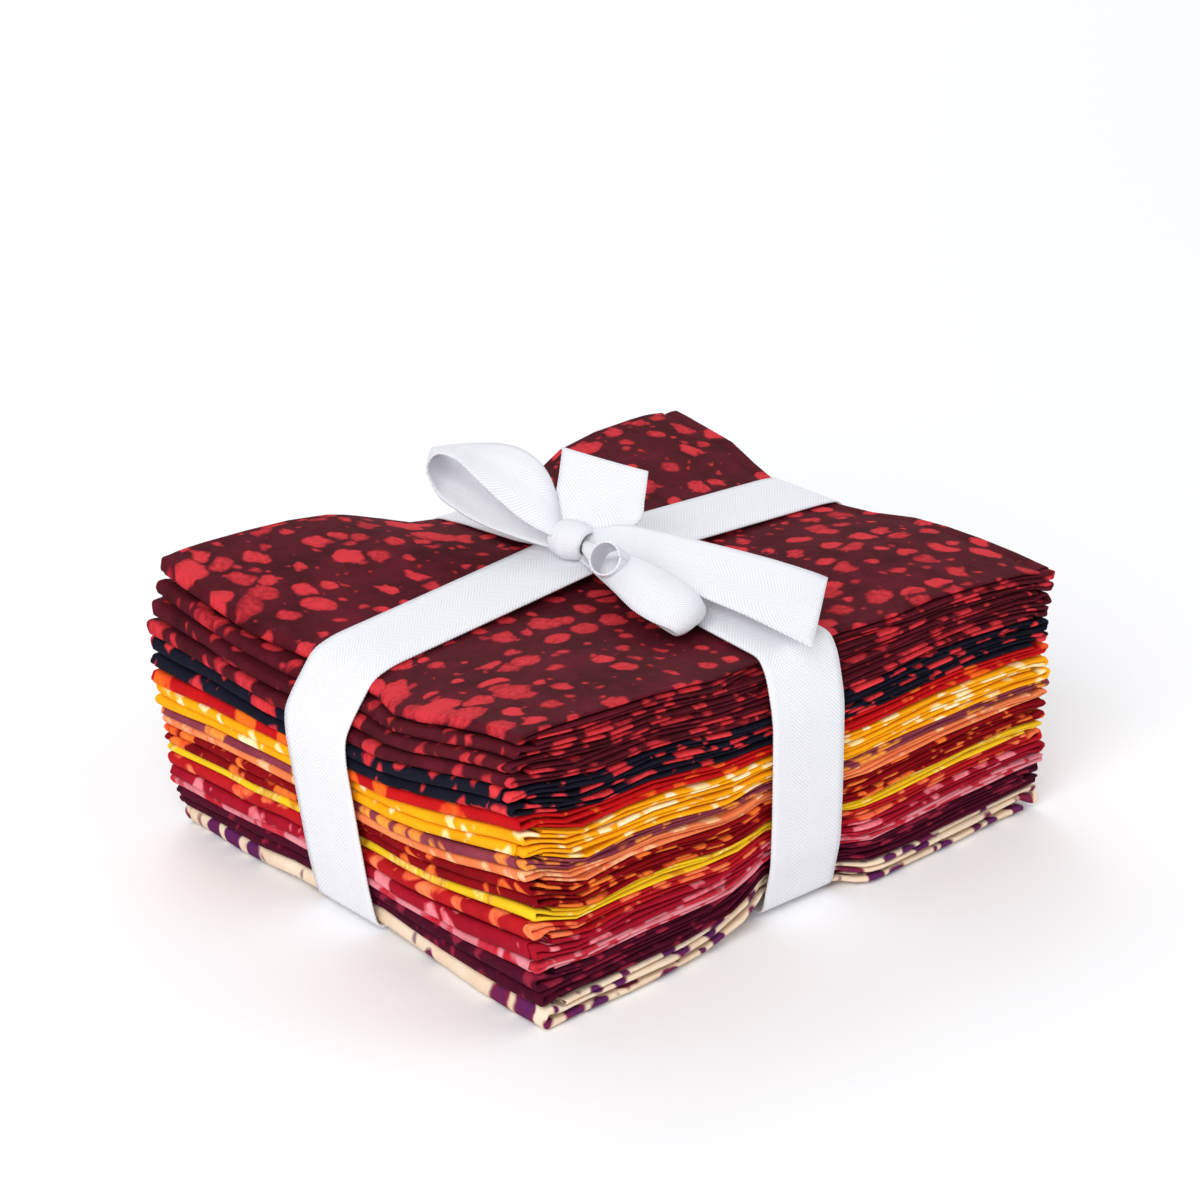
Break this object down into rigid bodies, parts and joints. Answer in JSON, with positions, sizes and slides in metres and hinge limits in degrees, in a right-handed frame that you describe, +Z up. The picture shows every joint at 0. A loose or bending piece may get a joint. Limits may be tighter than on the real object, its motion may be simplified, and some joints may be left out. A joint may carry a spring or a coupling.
{
  "type": "fat quarter bundle",
  "caption": "Stack of folded cotton fat quarters in maroon, black, red, gold, pink, plum and cream, tied both ways with a wide white twill ribbon that ends in a bow.",
  "frame": {"origin": "middle of the underside of the whole bundle, on the surface that it rests on", "axes": "+X along the long side of the stack, towards the end with the flush folds; +Y along the short side, away from the long side that shows the layers; +Z up"},
  "size_m": [0.1958, 0.1538, 0.1021],
  "materials": {
    "cream": "cotton, cream with plum and maroon pebbles",
    "plum": "cotton, dark plum with faint maroon pebbles",
    "pink": "cotton, pink with crimson pebbles",
    "crimson": "cotton, crimson with pink pebbles",
    "red": "cotton, red with orange pebbles",
    "yellow": "cotton, yellow with ochre pebbles",
    "dark_red": "cotton, dark red with orange pebbles",
    "peach": "cotton, mottled peach orange",
    "mauve": "cotton, mauve plum with yellow orange pebbles",
    "gold": "cotton, golden yellow with pale pebbles",
    "scarlet": "cotton, bright red with orange pebbles",
    "black": "cotton, near black navy with coral red pebbles",
    "maroon": "cotton, dark maroon with coral red pebbles",
    "ribbon": "white cotton twill tape, herringbone weave"
  },
  "bodies": {
    "root": {"fat_quarter_01_cream": "cream", "fat_quarter_02_plum": "plum", "fat_quarter_03_plum": "plum", "fat_quarter_04_pink": "pink", "fat_quarter_05_crimson": "crimson", "fat_quarter_06_red": "red", "fat_quarter_07_yellow": "yellow", "fat_quarter_08_dark_red": "dark_red", "fat_quarter_09_dark_red": "dark_red", "fat_quarter_10_peach": "peach", "fat_quarter_11_mauve": "mauve", "fat_quarter_12_gold": "gold", "fat_quarter_13_gold": "gold", "fat_quarter_14_scarlet": "scarlet", "fat_quarter_15_black": "black", "fat_quarter_16_black": "black", "fat_quarter_17_maroon": "maroon", "fat_quarter_18_maroon": "maroon", "fat_quarter_19_maroon": "maroon", "fat_quarter_20_maroon": "maroon", "ribbon": "ribbon"}
  },
  "joints": []
}
